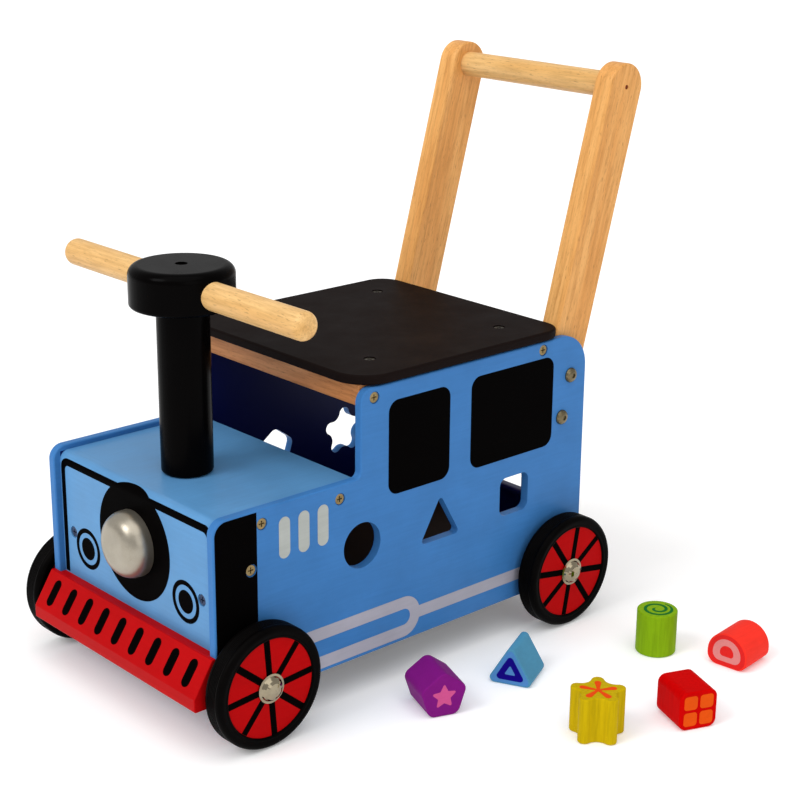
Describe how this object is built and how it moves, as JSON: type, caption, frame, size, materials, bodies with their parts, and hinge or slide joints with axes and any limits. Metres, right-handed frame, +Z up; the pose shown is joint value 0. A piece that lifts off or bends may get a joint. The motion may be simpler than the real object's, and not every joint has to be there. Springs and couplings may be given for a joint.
{
  "type": "baby walker",
  "caption": "Wooden push-along and ride-on train walker with a seat, a push handle, a turning handlebar column, rubber-tyred wheels and shape-sorter holes with loose shape blocks.",
  "frame": {"origin": "on the floor, under the centre of the two side panels", "axes": "+X forward to the bumper, +Y to the walker's left, +Z up"},
  "size_m": [0.4884, 0.4937, 0.482],
  "materials": {
    "blue_paint": "satin blue lacquer over plywood",
    "light_blue_paint": "satin light blue lacquer over wood",
    "navy_paint": "satin dark navy lacquer over wood",
    "dark_board": "dark stained thin board",
    "black_paint": "satin black lacquer over wood",
    "natural_wood": "clear lacquered pale rubberwood with fine grain",
    "red_paint": "glossy red lacquer over wood",
    "silver_paint": "silver metallic paint over turned wood",
    "brass_plate": "yellow zinc plated cross-head screw",
    "bright_steel": "bright zinc plated steel",
    "chrome_plate": "polished plated steel",
    "black_plastic": "black nylon",
    "black_rubber": "satin black rubber with a finely ribbed tread",
    "green_paint": "glossy green lacquer over wood",
    "yellow_paint": "glossy yellow lacquer over wood",
    "teal_paint": "glossy teal-blue lacquer over wood",
    "purple_paint": "glossy purple lacquer over wood",
    "coral_paint": "glossy coral red lacquer over wood"
  },
  "bodies": {
    "body": {"left_side_panel": "blue_paint", "right_side_panel": "blue_paint", "front_panel": "light_blue_paint", "hood_panel": "light_blue_paint", "floor_panel": "dark_board", "rear_panel": "navy_paint", "rear_panel_dowels": "natural_wood", "corner_cleats": "natural_wood", "bumper": "red_paint", "front_knob": "silver_paint", "seat_board": "black_paint", "seat_rail_front": "natural_wood", "seat_rail_rear": "natural_wood", "side_screws": "brass_plate", "seat_screws": "brass_plate", "front_screws": "brass_plate", "bumper_screws": "brass_plate", "knob_screw": "brass_plate", "handle_upright_left": "natural_wood", "handle_upright_right": "natural_wood", "handle_crossbar": "natural_wood", "crossbar_pins": "natural_wood", "handle_bolts": "bright_steel", "handle_nuts": "bright_steel", "front_axle": "bright_steel", "rear_axle": "bright_steel", "axle_spacers": "black_plastic", "axle_caps": "chrome_plate"},
    "steering": {"column_post": "black_paint", "column_cap": "black_paint", "handlebar": "natural_wood", "steering_bolt": "bright_steel", "steering_washer": "bright_steel", "steering_lock_nut": "bright_steel", "stop_pin": "natural_wood"},
    "wheel_front_left": {"wheel_disc_front_left": "red_paint", "tyre_front_left": "black_rubber"},
    "wheel_front_right": {"wheel_disc_front_right": "red_paint", "tyre_front_right": "black_rubber"},
    "wheel_rear_left": {"wheel_disc_rear_left": "red_paint", "tyre_rear_left": "black_rubber"},
    "wheel_rear_right": {"wheel_disc_rear_right": "red_paint", "tyre_rear_right": "black_rubber"},
    "loose_cylinder_block": {"cylinder_block": "green_paint"},
    "loose_flower_block": {"flower_block": "yellow_paint"},
    "loose_square_block": {"square_block": "red_paint"},
    "loose_triangle_block": {"triangle_block": "teal_paint"},
    "loose_pentagon_block": {"pentagon_block": "purple_paint"},
    "loose_d_block": {"d_block": "coral_paint"}
  },
  "joints": [
    {"name": "steering_turn", "type": "hinge", "parent": "body", "child": "steering", "pos_m": [0.14185, 0, 0.1815], "axis": [0, 0, 1], "range_deg": [-45, 45]},
    {"name": "front_left_wheel_spin", "type": "hinge", "parent": "body", "child": "wheel_front_left", "pos_m": [0.167, 0.1277, 0.05], "axis": [0, 1, 0], "continuous": true},
    {"name": "front_right_wheel_spin", "type": "hinge", "parent": "body", "child": "wheel_front_right", "pos_m": [0.167, -0.1277, 0.05], "axis": [0, 1, 0], "continuous": true},
    {"name": "rear_left_wheel_spin", "type": "hinge", "parent": "body", "child": "wheel_rear_left", "pos_m": [-0.167, 0.1277, 0.05], "axis": [0, 1, 0], "continuous": true},
    {"name": "rear_right_wheel_spin", "type": "hinge", "parent": "body", "child": "wheel_rear_right", "pos_m": [-0.167, -0.1277, 0.05], "axis": [0, 1, 0], "continuous": true},
    {"name": "cylinder_block_lift", "type": "slide", "parent": "body", "child": "loose_cylinder_block", "axis": [0, 0, 1], "range_m": [0, 0.2]},
    {"name": "flower_block_lift", "type": "slide", "parent": "body", "child": "loose_flower_block", "axis": [0, 0, 1], "range_m": [0, 0.2]},
    {"name": "square_block_lift", "type": "slide", "parent": "body", "child": "loose_square_block", "axis": [0, 0, 1], "range_m": [0, 0.2]},
    {"name": "triangle_block_lift", "type": "slide", "parent": "body", "child": "loose_triangle_block", "axis": [0, 0, 1], "range_m": [0, 0.2]},
    {"name": "pentagon_block_lift", "type": "slide", "parent": "body", "child": "loose_pentagon_block", "axis": [0, 0, 1], "range_m": [0, 0.2]},
    {"name": "d_block_lift", "type": "slide", "parent": "body", "child": "loose_d_block", "axis": [0, 0, 1], "range_m": [0, 0.2]}
  ]
}
